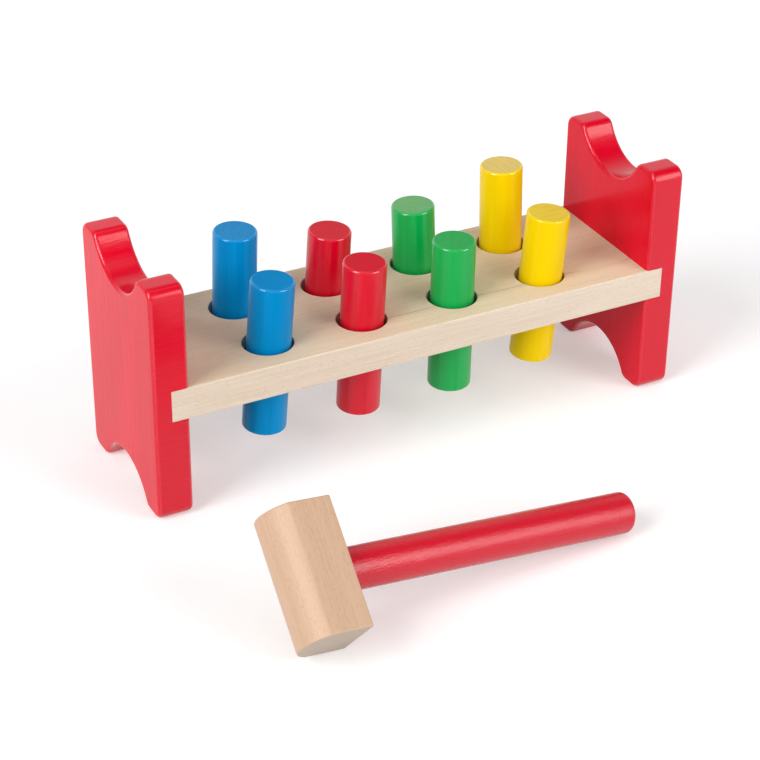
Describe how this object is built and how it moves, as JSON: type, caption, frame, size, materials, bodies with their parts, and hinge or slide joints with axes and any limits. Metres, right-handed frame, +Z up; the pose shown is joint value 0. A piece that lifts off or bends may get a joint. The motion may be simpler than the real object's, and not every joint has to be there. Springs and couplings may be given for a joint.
{
  "type": "peg pounding bench",
  "caption": "Wooden toy bench on scooped end panels, with coloured pegs to hammer through its board and a wooden mallet beside it.",
  "frame": {"origin": "on the table, under the middle of the box that the bench and its mallet fill together", "axes": "+X along the bench, +Y from the player's side to the far side, +Z up"},
  "size_m": [0.29, 0.2311, 0.125],
  "materials": {
    "raw_wood": "smooth sanded bare hardwood, unvarnished, with fine straight grain",
    "red_paint": "glossy paint over sanded wood, the grain showing faintly through it",
    "blue_paint": "glossy paint over sanded wood, the grain showing faintly through it",
    "green_paint": "glossy paint over sanded wood, the grain showing faintly through it",
    "yellow_paint": "glossy paint over sanded wood, the grain showing faintly through it",
    "ring_rubber": "matt dark rubber"
  },
  "bodies": {
    "bench": {"bench_board": "raw_wood", "left_end_panel": "red_paint", "right_end_panel": "red_paint", "blue_ring_front": "ring_rubber", "blue_ring_back": "ring_rubber", "red_ring_front": "ring_rubber", "red_ring_back": "ring_rubber", "green_ring_front": "ring_rubber", "green_ring_back": "ring_rubber", "yellow_ring_front": "ring_rubber", "yellow_ring_back": "ring_rubber"},
    "blue_peg_front": {"blue_peg_front": "blue_paint"},
    "blue_peg_back": {"blue_peg_back": "blue_paint"},
    "red_peg_front": {"red_peg_front": "red_paint"},
    "red_peg_back": {"red_peg_back": "red_paint"},
    "green_peg_front": {"green_peg_front": "green_paint"},
    "green_peg_back": {"green_peg_back": "green_paint"},
    "yellow_peg_front": {"yellow_peg_front": "yellow_paint"},
    "yellow_peg_back": {"yellow_peg_back": "yellow_paint"},
    "mallet": {"mallet_head": "raw_wood", "mallet_handle": "red_paint"}
  },
  "joints": [
    {"name": "blue_peg_drive_front", "type": "slide", "parent": "bench", "child": "blue_peg_front", "axis": [0.0606, -0.0309, 0.9977], "range_m": [-0.0231, 0.0189]},
    {"name": "blue_peg_drive_back", "type": "slide", "parent": "bench", "child": "blue_peg_back", "axis": [0.028, -0.0143, 0.9995], "range_m": [-0.03129, 0.01071]},
    {"name": "red_peg_drive_front", "type": "slide", "parent": "bench", "child": "red_peg_front", "axis": [0.0342, -0.0174, 0.9993], "range_m": [-0.02058, 0.02142]},
    {"name": "red_peg_drive_back", "type": "slide", "parent": "bench", "child": "red_peg_back", "axis": [0.0466, -0.0238, 0.9986], "range_m": [-0.01995, 0.02205]},
    {"name": "green_peg_drive_front", "type": "slide", "parent": "bench", "child": "green_peg_front", "axis": [0.0078, -0.004, 1], "range_m": [-0.02058, 0.02142]},
    {"name": "green_peg_drive_back", "type": "slide", "parent": "bench", "child": "green_peg_back", "axis": [-0.0311, 0.0158, 0.9994], "range_m": [-0.02247, 0.01953]},
    {"name": "yellow_peg_drive_front", "type": "slide", "parent": "bench", "child": "yellow_peg_front", "axis": [0.0653, -0.0333, 0.9973], "range_m": [-0.02436, 0.01764]},
    {"name": "yellow_peg_drive_back", "type": "slide", "parent": "bench", "child": "yellow_peg_back", "axis": [-0.0202, 0.0103, 0.9997], "range_m": [-0.0336, 0.0084]},
    {"name": "mallet_lift", "type": "slide", "parent": "bench", "child": "mallet", "axis": [0, 0, 1], "range_m": [0, 0.15]}
  ]
}
